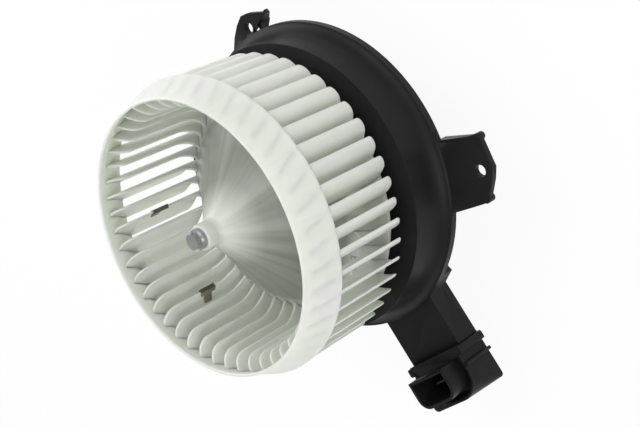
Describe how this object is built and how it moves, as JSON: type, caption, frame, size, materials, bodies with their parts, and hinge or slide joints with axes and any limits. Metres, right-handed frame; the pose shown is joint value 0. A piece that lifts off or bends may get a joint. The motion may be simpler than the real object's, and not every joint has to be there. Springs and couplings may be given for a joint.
{
  "type": "car cabin blower motor",
  "caption": "Car cabin blower motor: a forward-curved squirrel-cage fan wheel on a motor in a flanged plastic housing, with a plug socket on a side arm.",
  "frame": {"origin": "on the motor axis, in the plane of the mounting ears' front faces", "axes": "+Z along the motor axis out of the wheel's inlet, +X along the connector arm"},
  "size_m": [0.2279, 0.1969, 0.1388],
  "materials": {
    "black_moulding": "satin black glass-filled moulding with a fine even grain",
    "black_connector": "satin black moulding",
    "milky_plastic": "natural, slightly see-through milky moulding",
    "polished_steel": "ground and polished",
    "dull_steel": "matt grey",
    "bronzed_steel": "dull bronze-grey spring steel",
    "zinc_steel": "zinc plated",
    "spring_steel": "bright spring steel",
    "lamination_steel": "stacked steel sheet",
    "tinned_brass": "tinned brass strip",
    "sintered_bronze": "oil-filled sintered bronze",
    "copper": "enamelled copper wire",
    "ferrite": "dull dark ceramic",
    "carbon": "carbon and copper brush",
    "card": "brown phenolic moulding",
    "washer_plastic": "natural nylon",
    "felt": "oiled felt",
    "rubber": "soft black rubber"
  },
  "bodies": {
    "housing": {"flange_housing": "black_moulding", "arm_cover": "black_moulding", "rear_cover": "black_moulding", "rear_cover_screws": "zinc_steel", "connector_housing": "black_connector", "terminal_strip_left": "tinned_brass", "terminal_strip_right": "tinned_brass", "motor_can": "zinc_steel", "end_bell": "zinc_steel", "motor_screws": "zinc_steel", "front_isolator": "rubber", "rear_isolator": "rubber", "magnet_front_side": "ferrite", "magnet_back_side": "ferrite", "magnet_springs": "spring_steel", "front_bearing": "sintered_bronze", "rear_bearing": "sintered_bronze", "front_bearing_retainer": "spring_steel", "rear_bearing_retainer": "spring_steel", "front_oil_felt": "felt", "rear_oil_felt": "felt", "brush_card": "card", "brush_holder_left": "tinned_brass", "brush_holder_right": "tinned_brass", "brush_spring_left": "spring_steel", "brush_spring_right": "spring_steel", "choke_left": "copper", "choke_right": "copper", "suppressor_capacitor": "card"},
    "rotor": {"blower_wheel": "milky_plastic", "balance_clip_1": "bronzed_steel", "balance_clip_2": "bronzed_steel", "motor_shaft": "polished_steel", "wheel_retaining_ring": "dull_steel", "armature_core": "lamination_steel", "front_slot_insulator": "card", "rear_slot_insulator": "card", "armature_winding": "copper", "commutator_core": "card", "commutator_bars": "copper", "front_thrust_washer": "washer_plastic", "rear_thrust_washer": "washer_plastic"},
    "left_brush": {"brush_left": "carbon"},
    "right_brush": {"brush_right": "carbon"}
  },
  "joints": [
    {"name": "rotor_spin", "type": "hinge", "parent": "housing", "child": "rotor", "pos_m": [0, 0, 0], "axis": [0, 0, 1], "continuous": true},
    {"name": "brush_left_slide", "type": "slide", "parent": "housing", "child": "left_brush", "axis": [0, 1, 0], "range_m": [0, 0.003], "stiffness_N_per_m": 150, "springref_m": -0.02, "deforming": ["brush_spring_left"]},
    {"name": "brush_right_slide", "type": "slide", "parent": "housing", "child": "right_brush", "axis": [0, -1, 0], "range_m": [0, 0.003], "stiffness_N_per_m": 150, "springref_m": -0.02, "deforming": ["brush_spring_right"]}
  ]
}
